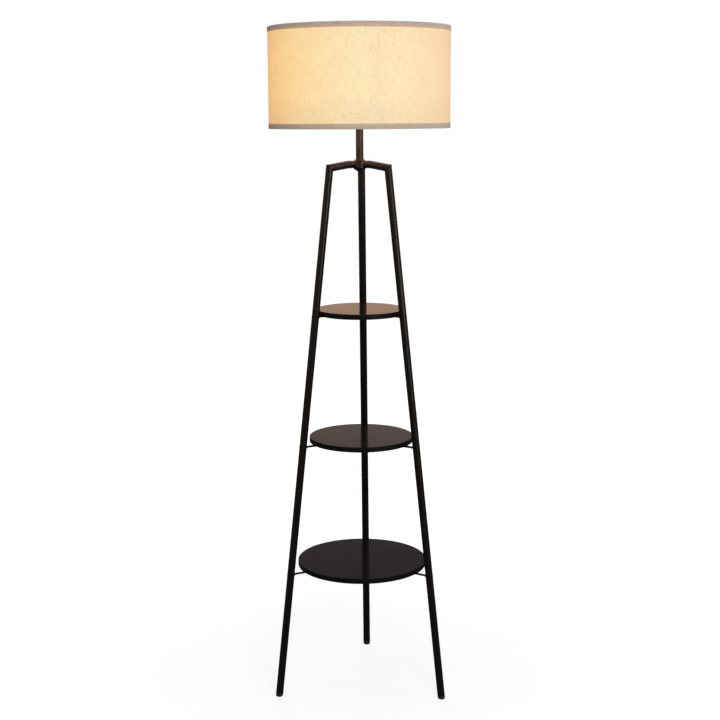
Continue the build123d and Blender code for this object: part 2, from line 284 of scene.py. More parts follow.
def weave(s, along, up, pitch):
    """Plain weave: each thread in turn passes over the next. Height from 0 to 1."""
    warp = s.math("SINE", s.math("MULTIPLY", along, math.pi / (pitch * MM)))
    weft = s.math("SINE", s.math("MULTIPLY", up, math.pi / (pitch * MM)))
    softness = 0.3
    over = s.span(s.math("MULTIPLY", warp, weft), -softness, softness)
    tops = s.math("MULTIPLY", s.math("ABSOLUTE", warp), over)
    rest = s.math("MULTIPLY", s.math("ABSOLUTE", weft), s.math("SUBTRACT", 1.0, over))
    return s.math("ADD", tops, rest)


def slubs(s, along, up, wide, tall, above, fade=0.22):
    """Uneven threads: noise drawn out to wide by tall millimetres, where it is above a value."""
    vector = s.node("CombineXYZ", s.math("DIVIDE", along, wide * MM), s.math("DIVIDE", up, tall * MM))
    return s.span(s.noise(vector.outputs[0], 1.0, 2), above, above + fade)


def linen():
    """Natural linen, with the bulb's light through it painted on as a glow: slubs and flecks show darker
    against it.
    """
    s = Shader("linen")
    along, up = around_shade(s)
    noise_layer = 0.37
    flat = s.node("CombineXYZ", along, up, noise_layer).outputs[0]
    woven = weave(s, along, up, 0.85)
    upright = slubs(s, along, up, wide=3.4, tall=30, above=0.42)
    level = slubs(s, along, up, wide=26, tall=3.0, above=0.42)
    flecks = slubs(s, along, up, wide=5.0, tall=6.5, above=0.56)
    blotches = s.span(s.noise(flat, 120, 2), 0.36, 0.64)
    tone = s.total((upright, 0.5), (level, 0.3), (flecks, 0.9), (blotches, -0.35))
    cloth = s.mix(s.span(tone, -0.3, 1.2), rgb(0.60, 0.51, 0.425), rgb(0.515, 0.435, 0.33))
    glow = s.scaled(linen_glow(s, along, flat), linen_brightness(s, up, tone, woven))
    s.set(base_color=cloth, roughness=0.9, specular_ior_level=0.2, normal=s.bump(woven, 0.25))
    s.set(sheen_weight=0.4, sheen_roughness=0.35, sheen_tint=rgb(0.85, 0.70, 0.65))
    s.set(emission_color=glow, emission_strength=1.0)
    return s.material


def linen_glow(s, along, flat):
    """Painted colour of the glow, shaped to the studio light that falls on the shade from the front and the
    right: less red in front, yellower on the left.
    """
    # painted light: red and blue of the glow vary round the shade to suit how the lamps fall on it
    red = near_line(s, along, 0.2 * SHADE_RADIUS, 0, 1.4 * SHADE_RADIUS, 0.41, 0.63)
    blue = near_line(s, along, -0.9 * SHADE_RADIUS, 0, 0.9 * SHADE_RADIUS, 0.072, 0.122)
    warm = s.node("CombineColor", red, 0.337, blue).outputs[0]
    drift = s.span(s.noise(flat, 14, 1), 0.34, 0.66)
    glow = s.mix(drift, s.times(warm, 1.02, 0.975, 1.03), s.times(warm, 0.98, 1.025, 0.97))
    # painted shade of a lap in the liner: a soft, darker and pinker upright band in the glow
    lap = near_line(s, along, LINER_LAP_SHADE_AT, 4, 25, 1.0, 0.0)
    return s.mix(lap, glow, s.times(warm, 1.0, 0.88, 0.96))


def linen_brightness(s, up, tone, woven):
    """How much comes through: less at thick threads and more between them in the weave. Painted shade dims
    it towards the top and bottom edges and from the left side to the right, and a painted bright line runs
    just inside the tapes' inner edges.
    """
    across = s.node("SeparateXYZ", s.place()).outputs[0]
    # painted side light: the glow is brighter on the left side and dimmer on the right
    sideways = s.span(across, -SHADE_RADIUS * MM, SHADE_RADIUS * MM, 1.12, 0.90)
    # painted shade: the glow dims towards the bottom and top edges
    low_edge = s.span(up, (SHADE_LOW + 12) * MM, (SHADE_LOW + 70) * MM, 0.85, 1.03)
    high_edge = s.span(up, (SHADE_HIGH - 60) * MM, (SHADE_HIGH - 12) * MM, 1.0, 0.93)
    slubbed = s.span(tone, -0.4, 1.3, 1.11, 0.80)
    gaps = s.span(woven, 0.0, 1.0, 0.93, 1.05)
    through = s.product(low_edge, high_edge, slubbed, gaps)
    # painted bright line in the glow, just inside the tapes' inner edges
    rim = near_tape(s, up, -4.0, -0.5, 0.0, 0.14)
    return s.math("MULTIPLY", s.math("ADD", through, rim), sideways)


def near_line(s, along, line, start, stop, first, last):
    """Value that goes from first to last between two distances from an upright line."""
    away = s.math("ABSOLUTE", s.math("SUBTRACT", along, line * MM))
    return s.span(away, start * MM, stop * MM, first, last)


def near_tape(s, up, start, stop, first, last):
    """Value that goes from first to last between two distances past the tapes' inner edges."""
    middle = (SHADE_LOW + SHADE_HIGH) / 2
    edge = SHADE_HIGH - TAPE_WIDTH - middle
    past = s.math("ABSOLUTE", s.math("SUBTRACT", up, middle * MM))
    return s.span(past, (edge + start) * MM, (edge + stop) * MM, first, last)


def liner():
    """White styrene behind the linen, seen from inside in the bulb's light; its colour is drawn grey, darker
    than the styrene, to tone that light down, and a warm glow is painted on it as emission.
    """
    s = Shader("liner")
    haze = s.noise(s.place(), 35, 3)
    s.set(base_color=s.mix(haze, rgb(0.36, 0.33, 0.29), rgb(0.41, 0.38, 0.34)), roughness=0.45)
    s.set(emission_color=rgb(1.0, 0.62, 0.30), emission_strength=0.30, normal=s.bump(haze, 0.05))
    return s.material


def tape():
    """Folded linen tape, close woven, in front of the stiffening so that it doesn't glow, except for a
    painted glow along its inner edge, where light comes through one layer.
    """
    s = Shader("tape")
    along, up = around_shade(s)
    upright = slubs(s, along, up, wide=1.2, tall=9, above=0.40)
    level = slubs(s, along, up, wide=22, tall=1.0, above=0.40)
    cloth = s.mix(s.total((upright, 0.5), (level, 0.5)), rgb(0.60, 0.49, 0.405), rgb(0.42, 0.33, 0.265))
    s.set(base_color=cloth, roughness=0.92, specular_ior_level=0.2,
          normal=s.bump(weave(s, along, up, 0.55), 0.2))
    s.set(sheen_weight=0.5, sheen_roughness=0.35, sheen_tint=rgb(0.9, 0.86, 0.86))
    # painted glow: light through the single layer along the tape's inner edge, fading over 6 mm
    glow = near_tape(s, up, 0.0, 6.0, 0.17, 0.0)
    s.set(emission_color=s.scaled(rgb(1.0, 0.40, 0.12), glow), emission_strength=1.0)
    return s.material


def simple(name, colour, roughness, metallic=0.0, scale=300, relief=0.02, vary=0.12):
    """A finish of one colour with the small unevenness of the real one."""
    s = Shader(name)
    grain = s.noise(s.place(), scale, 3)
    dark = tuple(value * (1 - vary) for value in colour)
    s.set(base_color=s.mix(grain, rgb(*dark), rgb(*colour)), metallic=metallic, normal=s.bump(grain, relief))
    s.set(roughness=s.span(grain, 0.3, 0.7, roughness - 0.04, roughness + 0.06))
    return s.material


def opal_glass():
    """Lit opal glass, whiter and brighter towards its crown."""
    s = Shader("opal_glass")
    up = s.node("SeparateXYZ", s.place()).outputs[2]
    bright = s.span(up, (BULB_SEAT + BULB_NECK_FROM) * MM, (BULB_SEAT + 70) * MM, 0.30, 0.62)
    glow = s.scaled(rgb(1.0, 0.80, 0.50), bright)
    s.set(base_color=rgb(0.42, 0.40, 0.36), roughness=0.25, emission_color=glow, emission_strength=1.0)
    return s.material


MATERIALS = {
    "black_metal": powder_coat(),
    "shelf_board": board_lacquer("board_lacquer", (0.0028, 0.0024, 0.0023), (0.0050, 0.0042, 0.0040),
                                 roughness=0.10, gloss=0.5),
    "edge_band": board_lacquer("edge_band", (0.0020, 0.0019, 0.0019), (0.0034, 0.0031, 0.0031),
                               roughness=0.42, gloss=0.3),
    "shade_fabric": linen(),
    "shade_liner": liner(),
    "shade_trim": tape(),
    "bulb_glass": opal_glass(),
    "shade_wire": simple("coated_wire", (0.62, 0.60, 0.55), 0.4),
    "plated_steel": simple("zinc_plate", (0.55, 0.54, 0.52), 0.34, metallic=1.0, scale=900),
    "bulb_cap_metal": simple("bulb_cap_metal", (0.70, 0.69, 0.66), 0.26, metallic=1.0),
    "contact_brass": simple("contact_brass", (0.74, 0.52, 0.22), 0.3, metallic=1.0),
    "black_plastic": simple("black_plastic", (0.018, 0.017, 0.016), 0.42, scale=1500, relief=0.03),
}


# Mesh building. A shape is (points, faces).


def skin(rings, closed=False, capped=False):
    """Faces between rings of points. A ring of one point is a pole; capped closes the ends."""
    points, starts = [], []
    for ring in rings:
        starts.append(len(points))
        points.extend(ring)
    pairs = list(zip(range(len(rings)), range(1, len(rings))))
    if closed:
        pairs.append((len(rings) - 1, 0))
    faces = []
    for a, b in pairs:
        size = max(len(rings[a]), len(rings[b]))
        for i in range(size):
            j = (i + 1) % size
            corners = [starts[r] + k % len(rings[r]) for r, k in ((a, i), (a, j), (b, j), (b, i))]
            faces.append(tuple(dict.fromkeys(corners)))
    if capped:
        faces.append(tuple(reversed(range(len(rings[0])))))
        faces.append(tuple(range(starts[-1], len(points))))
    return points, faces


def turn_angles(segments):
    return [2 * math.pi * i / segments for i in range(segments)]


def eased(*corners):
    """Outline of (x, y) corners, where a third value rounds the corner to that radius."""
    outline = []
    for i, (x, y, *ease) in enumerate(corners):
        here = Vector((x, y))
        if not ease:
            outline.append((x, y))
            continue
        before = (Vector(corners[i - 1][:2]) - here).normalized()
        after = (Vector(corners[(i + 1) % len(corners)][:2]) - here).normalized()
        half = before.angle(after) / 2
        centre = here + (before + after).normalized() * ease[0] / math.sin(half)
        first = here + before * ease[0] / math.tan(half) - centre
        turn = math.pi - 2 * half
        if before.x * after.y - before.y * after.x > 0:
            turn = -turn
        for k in range(EASE_STEPS + 1):
            angle = turn * k / EASE_STEPS
            outline.append((centre.x + first.x * math.cos(angle) - first.y * math.sin(angle),
                            centre.y + first.x * math.sin(angle) + first.y * math.cos(angle)))
    return outline


def lathe(outline, segments=SEGMENTS, relief=None):
    """Surface of revolution about Z of (radius, height) points; relief adds to the radius."""
    rings = []
    for radius, height in outline:
        if radius <= 0:
            rings.append([(0, 0, height)])
            continue
        ring = []
        for angle in turn_angles(segments):
            r = radius + (relief(angle, radius, height) if relief else 0)
            ring.append((r * math.cos(angle), r * math.sin(angle), height))
        rings.append(ring)
    return skin(rings, closed=outline[0][0] > 0 and outline[-1][0] > 0)


def cylinder(radius, low, high, ease):
    """Solid round bar with eased ends."""
    return lathe(eased((0, low), (radius, low, ease), (radius, high, ease), (0, high)))


def squared(value, square):
    """Part of a superellipse's point: sine or cosine at 2, and towards -1 or 1 above."""
    return math.copysign(abs(value) ** (2 / square), value)


def swept(path, sizes, segments=SEGMENTS):
    """Bar along (x, z) points. Each size is half width, half depth and squareness, 2 for round."""
    rings = []
    for i, (x, z) in enumerate(path):
        here = Vector((x, z))
        arriving = (here - Vector(path[max(i - 1, 0)])).normalized()
        leaving = (Vector(path[min(i + 1, len(path) - 1)]) - here).normalized()
        along = (arriving + leaving).normalized()
        stretch = 1 / max(along.dot(leaving), along.dot(arriving))
        normal = Vector((-along.y, along.x))
        width, depth, square = sizes[i]
        ring = []
        for angle in turn_angles(segments):
            aside = squared(math.cos(angle), square)
            offset = normal * depth * stretch * squared(math.sin(angle), square)
            ring.append((x + offset.x, -width * aside, z + offset.y))
        rings.append(ring)
    return skin(rings, capped=True)


def bead(half_x, half_y, size, ripples, segments=96):
    """Rippled and slightly uneven weld along an ellipse in the XY plane."""
    ripple_share, uneven_share = 0.16, 0.08
    rings = []
    for angle in turn_angles(segments):
        centre = Vector((half_x * math.cos(angle), half_y * math.sin(angle), 0))
        outward = Vector((math.cos(angle) / half_x, math.sin(angle) / half_y, 0)).normalized()
        r = size * (1 + ripple_share * math.cos(ripples * angle) + uneven_share * math.sin(3 * angle))
        rings.append([tuple(centre + outward * r * math.cos(a) + Vector((0, 0, r * math.sin(a))))
                      for a in turn_angles(12)])
    return skin(rings, closed=True)


def moved(shape, matrix):
    points, faces = shape
    return [tuple(matrix @ Vector(p)) for p in points], faces


def turned(azimuth):
    return Matrix.Rotation(math.radians(azimuth), 4, "Z")


def shifted(x, y, z):
    return Matrix.Translation((x, y, z))


def leg_radius(height):
    return FOOT_CIRCLE_RADIUS - LEG_LEAN * height


def on_leg(azimuth, height):
    """Frame on a leg's centreline, with Z up the leg and X away from the lamp's axis."""
    lean = Matrix.Rotation(-LEG_SPLAY, 4, "Y")
    return turned(azimuth) @ shifted(leg_radius(height), 0, height) @ lean


def lying(azimuth, reach, height):
    """Frame whose Z points away from the lamp's axis at that azimuth."""
    return turned(azimuth) @ shifted(reach, 0, height) @ Matrix.Rotation(math.pi / 2, 4, "Y")


def placed(name, data, place=(0, 0, 0)):
    """Object of that data in the scene."""
    made = bpy.data.objects.new(name, data)
    made.location = place
    bpy.context.scene.collection.objects.link(made)
    return made


def solid(name, points, faces):
    """Object whose faces point outwards, smooth up to its sharp edges."""
    mesh = bpy.data.meshes.new(name)
    mesh.from_pydata(points, [], faces)
    shaping = bmesh.new()
    shaping.from_mesh(mesh)
    bmesh.ops.recalc_face_normals(shaping, faces=shaping.faces)
    for face in shaping.faces:
        face.smooth = True
    for edge in shaping.edges:
        edge.smooth = edge.is_manifold and edge.calc_face_angle(0) < SHARP_ANGLE
    shaping.to_mesh(mesh)
    shaping.free()
    return placed(name, mesh)


def carved(shape, cutters):
    """The shape less the cutters. Both helper objects go with their meshes at the end."""
    body = solid("body", *shape)
    tool = solid("cutter", *joined(cutters))
    cut = body.modifiers.new("cut", "BOOLEAN")
    cut.operation = "DIFFERENCE"
    cut.object = tool
    cleaning = bmesh.new()
    cleaning.from_mesh(body.evaluated_get(bpy.context.evaluated_depsgraph_get()).to_mesh())
    bmesh.ops.remove_doubles(cleaning, verts=cleaning.verts, dist=MERGE_DISTANCE)
    cleaning.verts.index_update()
    points = [tuple(vertex.co) for vertex in cleaning.verts]
    faces = [tuple(vertex.index for vertex in face.verts) for face in cleaning.faces]
    cleaning.free()
    for made in (body, tool):
        bpy.data.meshes.remove(made.data)
    return points, faces


def joined(shapes):
    """Several shapes as one."""
    points, faces = [], []
    for shape_points, shape_faces in shapes:
        start = len(points)
        points.extend(shape_points)
        faces.extend(tuple(i + start for i in face) for face in shape_faces)
    return points, faces


def piece(name, shapes, slot, nodes=(), body="lamp", material=None):
    """One named piece of the lamp, made of closed shapes, riding on its body."""
    points, faces = joined(shapes)
    made = solid(name, [Vector(p) * MM + AXIS for p in points], faces)
    made.modifiers.new("flat_faces_stay_flat", "WEIGHTED_NORMAL").keep_sharp = True
    made.data.materials.append(MATERIALS[material or slot])
    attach(made, body)
    if nodes:
        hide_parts(*nodes)
    return made


# Stand


def leg_tube(low, high):
    return cylinder(TUBE_RADIUS, low, high, TUBE_EASE)


def build_straight_legs():
    heights = [0, *JOINTS.values()]
    gap = EYELET_THICKNESS / 2
    for side, azimuth in LEG_AZIMUTHS.items():
        for i, name in enumerate(("lower", "second", "third")):
            low = heights[i] / math.cos(LEG_SPLAY) + (gap if i else FOOT_CAP_HEIGHT)
            high = heights[i + 1] / math.cos(LEG_SPLAY) - gap
            node = f"{name}_leg_{side}"
            shape = moved(leg_tube(low, high), on_leg(azimuth, 0))
            piece(f"{node}_tube", [shape], "black_metal", [node])


def elbow_corner():
    """Where the centrelines of the drooping arm and the leg meet."""
    slope = math.tan(ARM_DROOP)
    foot = FOOT_CIRCLE_RADIUS - LEG_LEAN * (ARM_HEIGHT + ARM_BEND_START * slope)
    radius = foot / (1 - LEG_LEAN * slope)
    return radius, ARM_HEIGHT - (radius - ARM_BEND_START) * slope


def build_upper_legs():
    corner = elbow_corner()
    stop = JOINTS["top"] + EYELET_THICKNESS / 2 * math.cos(LEG_SPLAY)
    path = eased((ARM_START, ARM_HEIGHT), (ARM_BEND_START, ARM_HEIGHT, ARM_BEND_RADIUS), corner,
                 (leg_radius(stop), stop))
    bar = swept(path, [(TUBE_RADIUS, TUBE_RADIUS, 2)] * len(path))
    turn = math.pi / 2 - LEG_SPLAY - ARM_DROOP
    seam = shifted(corner[0], 0, corner[1]) @ Matrix.Rotation(ARM_DROOP + turn / 2 + math.pi / 2, 4, "Y")
    weld = moved(bead(TUBE_RADIUS / math.cos(turn / 2), TUBE_RADIUS, size=0.5, ripples=26), seam)
    stud, groove = 5.2, TUBE_RADIUS - 1.1
    near, far = BOSS_LENGTH - 0.2, ARM_START + 0.8
    neck = lathe(eased((stud, near), (groove, near), (groove, far), (stud, far)))
    neck = moved(neck, lying(0, 0, ARM_HEIGHT))
    for side, azimuth in LEG_AZIMUTHS.items():
        node = f"upper_leg_{side}"
        piece(f"{node}_tube", [moved(bar, turned(azimuth))], "black_metal", [node])
        piece(f"{node}_weld", [moved(weld, turned(azimuth))], "black_metal")
        piece(f"{node}_neck", [moved(neck, turned(azimuth))], "black_metal")


def foot_ring(inset, height, azimuth):
    """Ring round a leg, that far in from its surface and level at that height."""
    frame_on_leg = on_leg(azimuth, 0)
    outward, sideways, upward, base = (Vector(frame_on_leg.col[i][:3]) for i in range(4))
    ring = []
    for angle in turn_angles(SEGMENTS):
        flat = (outward * math.cos(angle) + sideways * math.sin(angle)) * (FOOT_RADIUS - inset)
        ring.append(tuple(base + flat + upward * (height - flat.z) / upward.z))
    return ring


def build_foot_caps():
    """Caps with a rounded sole that is level on the floor, each about its leaning leg."""
    steps, height = 8, FOOT_CAP_HEIGHT
    for side, azimuth in LEG_AZIMUTHS.items():
        leg = on_leg(azimuth, 0)
        rings = [[tuple(leg.translation)]]
        for i in range(steps + 1):
            angle = math.pi / 2 * i / steps
            inset, rise = FOOT_EASE * (1 - math.sin(angle)), FOOT_EASE * (1 - math.cos(angle))
            rings.append(foot_ring(inset, rise, azimuth))
        for radius, up in ((FOOT_RADIUS, height - 0.7), (FOOT_RADIUS - 0.2, height - 0.3),
                           (FOOT_RADIUS - 0.7, height - 0.1)):
            rings.append([tuple(leg @ Vector((radius * math.cos(a), radius * math.sin(a), up)))
                          for a in turn_angles(SEGMENTS)])
        rings.append([tuple(leg @ Vector((0, 0, height)))])
        piece(f"foot_cap_{side}", [skin(rings)], "black_plastic", ["foot_caps"])


def build_grommet():
    """Rubber bush with a domed flange, where the cord would leave the rear leg."""
    outline = eased((OUTLET_RADIUS, 6.1), (4.4, 6.1), (4.4, 8.7), (5.9, 7.9), (5.9, 9.5, 0.5),
                    (4.6, 10.1, 0.5), (OUTLET_RADIUS, 10.1, 0.5))
    matrix = on_leg(LEG_AZIMUTHS["rear"], OUTLET_HEIGHT) @ Matrix.Rotation(math.pi / 2, 4, "Y")
    piece("cord_grommet_bush", [moved(lathe(outline, 48), matrix)], "black_plastic", ["cord_grommet"])


# Shelves


def bracket_recess(level):
    """Cutter for the pocket and groove that take a bracket's pad and rod."""
    low, high = SHELVES[level]
    half, end = ROD_RADIUS + RECESS_PLAY, PAD_RADIUS + RECESS_PLAY
    near, far = high.x - PAD_SETBACK, high.x - PAD_SETBACK - 2 * PAD_RADIUS
    mouth = math.asin(half / end)
    quarter = math.pi / 2
    outline = [(high.x + 1, -half), (high.x + 1, half)]
    for centre, first, last in ((near, mouth, quarter), (far, quarter, 3 * quarter),
                                (near, 3 * quarter, 4 * quarter - mouth)):
        for i in range(ROUND_STEPS + 1):
            angle = first + (last - first) * i / ROUND_STEPS
            outline.append((centre + end * math.cos(angle), end * math.sin(angle)))
    heights = (low.z - 1, low.z + RECESS_DEPTH)
    return skin([[(x, y, z) for x, y in outline] for z in heights], capped=True)


def build_shelves():
    for level, (low, high) in SHELVES.items():
        radius = high.x
        groove = radius - 0.12
        outline = eased((0, low.z), (radius, low.z, 0.9), (radius, low.z + 1.6), (groove, low.z + 1.8),
                        (radius, low.z + 2.0), (radius, high.z - 2.0), (groove, high.z - 1.8),
                        (radius, high.z - 1.6), (radius, high.z, 0.9), (0, high.z))
        recesses = [moved(bracket_recess(level), turned(azimuth)) for azimuth in LEG_AZIMUTHS.values()]
        shape = carved(lathe(outline, RIM_SEGMENTS), recesses)
        board = piece(f"{level}_shelf_board", [shape], "shelf_board", [f"{level}_shelf"])
        board.data.materials.append(MATERIALS["edge_band"])
        flat_enough = 0.9
        for face in board.data.polygons:
            if abs(face.normal.z) < flat_enough:
                face.material_index = 1


def bracket_bar(level):
    """Rod whose inner end is pressed flat into a round-ended pad: from the eyelet inwards."""
    height = JOINTS[level]
    start = leg_radius(height) - EYELET_RADIUS + 0.8
    pad_at = SHELVES[level][1].x - PAD_SETBACK
    tip = pad_at - 3 * PAD_RADIUS
    top = height + ROD_RADIUS
    path, sizes = [(start, height)], [(ROD_RADIUS, ROD_RADIUS, 2)]
    for i in range(ROUND_STEPS + 1):
        reach = PRESSED_FROM * (1 - i / ROUND_STEPS)
        t = min(1.0, 1.5 * i / ROUND_STEPS)
        grow = t * t * (3 - 2 * t)
        depth = ROD_RADIUS + (PAD_THICKNESS / 2 - ROD_RADIUS) * grow
        round_end = math.sqrt(max(0.0, PAD_RADIUS ** 2 - reach ** 2))
        path.append((pad_at + reach, top - depth))
        sizes.append((max(ROD_RADIUS, round_end), depth, 2 + (PAD_SQUARENESS - 2) * grow))
    for i in range(ROUND_STEPS):
        angle = math.pi / 2 * i / (ROUND_STEPS - 0.6)
        path.append((tip + PAD_RADIUS * (1 - math.sin(angle)), top - PAD_THICKNESS / 2))
        sizes.append((PAD_RADIUS * math.cos(angle), PAD_THICKNESS / 2, PAD_SQUARENESS))
    return swept(path, sizes, 48)


def hexagon(on_radius):
    """Relief that turns the outline's circles of that radius into hexagons."""
    def relief(angle, radius, height):
        if radius == on_radius:
            return radius / math.cos((angle + math.pi / 6) % (math.pi / 3) - math.pi / 6) - radius
        return 0.0
    return relief


def screw_head():
    """Domed head with a hexagon socket, looking down from its seat at 0."""
    dome = eased((0, 0), (3.3, 0, 0.2), (3.1, -1.0, 0.5), (1.9, -1.9, 0.4), (1.5, -1.9))
    socket = [(SOCKET_RADIUS, -1.8), (SOCKET_RADIUS, -0.7), (0, -0.6)]
    return lathe(dome + socket, 48, hexagon(on_radius=SOCKET_RADIUS))


def build_brackets():
    half = EYELET_THICKNESS / 2
    eyelet = lathe(eased((TUBE_BORE, -half), (EYELET_RADIUS, -half, 0.5), (EYELET_RADIUS, half, 0.5),
                         (TUBE_BORE, half)))
    for level, height in JOINTS.items():
        bar = bracket_bar(level)
        root = leg_radius(height) - EYELET_RADIUS
        weld = bead(ROD_RADIUS + 0.3, ROD_RADIUS + 0.3, size=0.85, ripples=9, segments=48)
        weld = moved(weld, lying(0, root - 0.2, height))
        screw_reach = SHELVES[level][1].x - PAD_SETBACK - PAD_RADIUS
        screw = moved(screw_head(), shifted(screw_reach, 0, height + ROD_RADIUS - PAD_THICKNESS))
        for side, azimuth in LEG_AZIMUTHS.items():
            arm = [moved(eyelet, on_leg(azimuth, height)), moved(bar, turned(azimuth)),
                   moved(weld, turned(azimuth))]
            piece(f"{level}_bracket_{side}", arm, "black_metal", [f"{level}_shelf_brackets"])
            piece(f"{level}_shelf_screw_{side}", [moved(screw, turned(azimuth))], "plated_steel")


# Hub and post


def build_hub():
    low, high = node_span("hub")
    body = lathe(eased((0, low.z), (HUB_RADIUS, low.z, 1.4), (HUB_RADIUS, high.z, 1.4), (0, high.z)))
    collar = BOSS_RADIUS + 1.2
    boss = lathe(eased((0, 8), (collar, 8), (collar, BOSS_LENGTH - 2.8),
                       (BOSS_RADIUS, BOSS_LENGTH - 1.8, 0.8), (BOSS_RADIUS, BOSS_LENGTH, 0.4),
                       (0, BOSS_LENGTH)))
    bosses = [moved(boss, lying(azimuth, 0, ARM_HEIGHT)) for azimuth in LEG_AZIMUTHS.values()]
    piece("hub_body", [body, *bosses], "black_metal", ["hub"])
    cap_low = node_span("hub_cap")[0].z
    cap = lathe(eased((0, cap_low), (3.2, cap_low, 1.0), (13.6, low.z - 0.9, 0.8), (14.0, low.z),
                      (0, low.z + 0.5)))
    piece("hub_cap_cone", [cap], "black_metal", ["hub_cap"])


def build_post():
    foot = node_span("hub")[1].z
    outline = eased((0, foot), (10.3, foot, 0.5), (9.9, foot + 2.2, 1.0), (TUBE_RADIUS, foot + 4.6, 2.0),
                    (TUBE_RADIUS, POST_TOP, 0.4), (0, POST_TOP))
    piece("post_tube", [lathe(outline)], "black_metal", ["post"])


# Lampholder, switch and bulb


def thread(pitch, depth, on_radius):
    """Relief of a screw thread, on the outline's points at that radius."""
    def relief(angle, radius, height):
        if radius == on_radius:
            return depth * math.sin(2 * math.pi * height / pitch - angle)
        return 0.0
    return relief


def ribs(count, depth, from_radius, from_height=-math.inf):
    """Relief of upright grip ribs, on what lies outside the radius and above the height."""
    def relief(angle, radius, height):
        if radius > from_radius and height > from_height:
            return -depth * max(0.0, math.cos(count * angle)) ** 2
        return 0.0
    return relief


def column(radius, low, high, step):
    """Straight outline with a point at every step, for relief."""
    count = int((high - low) / step)
    return [(radius, low + (high - low) * i / count) for i in range(count + 1)]


def build_lampholder():
    low, high = POST_TOP + 0.1, HOUSING_LOW - 0.4
    cap = lathe(eased((5.1, low), (10, low, 0.5), (10, low + 2.3, 0.6), (16.5, low + 5.9, 3.0),
                      (HOLDER_RADIUS, low + 9.9, 2.0), (HOLDER_RADIUS, high, 0.4), (5.1, high)))
    piece("lampholder_cap_cover", [cap], "black_plastic", ["lampholder_cap"])
    seat = FITTER_SEAT
    body = lathe(eased((0, HOUSING_LOW), (HOLDER_RADIUS, HOUSING_LOW, 0.4), (HOLDER_RADIUS, seat, 1.0),
                       (16.0, seat), (16.0, seat + 1), (0, seat + 1)))
    screwed = column(SLEEVE_RADIUS, seat + 0.5, SLEEVE_TOP - 0.6, 0.35)
    sleeve = lathe([(14.2, seat), (15.2, seat), *screwed, (15.2, SLEEVE_TOP), (14.2, SLEEVE_TOP)],
                   96, thread(pitch=2.1, depth=0.3, on_radius=SLEEVE_RADIUS))
    piece("lampholder_housing", [body, sleeve], "black_plastic", ["lampholder_body"])
    low, high = (corner.z for corner in node_span("retaining_ring"))
    grip = [(RING_BORE, low), (20.2, low), *column(20.9, low + 0.6, high - 0.6, 1.0), (20.2, high),
            (RING_BORE, high)]
    nut = lathe(grip, 216, ribs(count=36, depth=0.6, from_radius=20.0))
    piece("retaining_ring_nut", [nut], "black_plastic", ["retaining_ring"])


def build_switch():
    outline = eased((0, 0), (6.2, 0, 0.3), (6.5, 1.2), (6.5, 3.0), (6.4, 12.0), (6.1, 14.0, 0.8), (0, 14.0))
    knob = lathe(outline, 128, ribs(count=8, depth=0.9, from_radius=6.0, from_height=1.0))
    shaft = cylinder(3.0, -11.8, 1.0, 0.2)
    place = lying(0, SWITCH_REACH, SWITCH_HEIGHT)
    piece("switch_knob_grip", [moved(knob, place), moved(shaft, place)], "black_plastic", ["switch_knob"],
          body="switch_knob")


def build_bulb():
    flank_steps, crown_steps = 18, 16
    neck, swell = BULB_SEAT + BULB_NECK_FROM, BULB_SEAT + BULB_SWELL_FROM
    widest = BULB_SEAT + BULB_LENGTH - BULB_RADIUS
    outline = [(0, neck), (BULB_NECK_RADIUS, neck), (BULB_NECK_RADIUS, swell)]
    for i in range(1, flank_steps + 1):
        t = i / flank_steps
        grow = 0.5 - 0.5 * math.cos(math.pi * (t * 0.55 + 0.45 * t * t))
        radius = BULB_NECK_RADIUS + (BULB_RADIUS - BULB_NECK_RADIUS) * grow
        outline.append((radius, swell + (widest - swell) * t))
    for i in range(1, crown_steps):
        angle = math.pi / 2 * i / crown_steps
        outline.append((BULB_RADIUS * math.cos(angle), widest + BULB_RADIUS * math.sin(angle)))
    outline.append((0, BULB_SEAT + BULB_LENGTH))
    glass = piece("bulb_globe", [lathe(outline)], "bulb_glass", ["bulb_glass"])
    glass.visible_shadow = False
    low = BULB_SEAT
    screwed = column(BULB_THREAD_RADIUS, low + 6, low + 22, 0.3)
    shell = lathe([(0, low + 2.6), (9.5, low + 2.6), (12.4, low + 5.4), *screwed, (13.1, low + 24),
                   (13.1, low + 25.8), (12.5, low + 26), (0, low + 26)],
                  96, thread(pitch=3.6, depth=0.42, on_radius=BULB_THREAD_RADIUS))
    tip = lathe(eased((0, low), (4.6, low, 0.6), (5.0, low + 1.4), (9.4, low + 2.7, 0.4), (0, low + 2.8)))
    piece("bulb_screw_base", [shell, tip], "bulb_cap_metal", ["bulb_base"])


# Shade


def band(section, lap, lift):
    """Strip of that closed (radius, height) section, once round the axis with its ends lapped."""
    rings = []
    total = 2 * math.pi + lap
    for i in range(SHADE_SEGMENTS + 1):
        travel = total * i / SHADE_SEGMENTS
        angle = math.pi / 2 + travel
        rise = lift * min(1.0, max(0.0, (travel - 2 * math.pi + lap) / lap))
        rings.append([((r + rise) * math.cos(angle), (r + rise) * math.sin(angle), z) for r, z in section])
    return skin(rings, capped=True)


def wall_section(outer, inner, low, high, rows=12):
    """Closed section of a straight wall, with rows of points up it."""
    heights = [low + (high - low) * i / rows for i in range(rows + 1)]
    return [(outer, z) for z in heights] + [(inner, z) for z in reversed(heights)]


def tape_section(edge, inward):
    """Tape folded over the shade's edge: outside face, over the edge wire and back down inside."""
    outer, inner, t = SHADE_RADIUS, SHADE_RADIUS - TAPE_OVER, TAPE_THICKNESS
    outside, inside = edge + inward * TAPE_WIDTH, edge + inward * TAPE_INSIDE
    under = edge + inward * t
    return eased((outer - 0.05, outside), (outer, edge, 1.3), (inner, edge, 1.3), (inner, inside),
                 (inner + t, inside), (inner + t, under, 0.8), (outer - t, under, 0.8),
                 (outer - t - 0.05, outside))


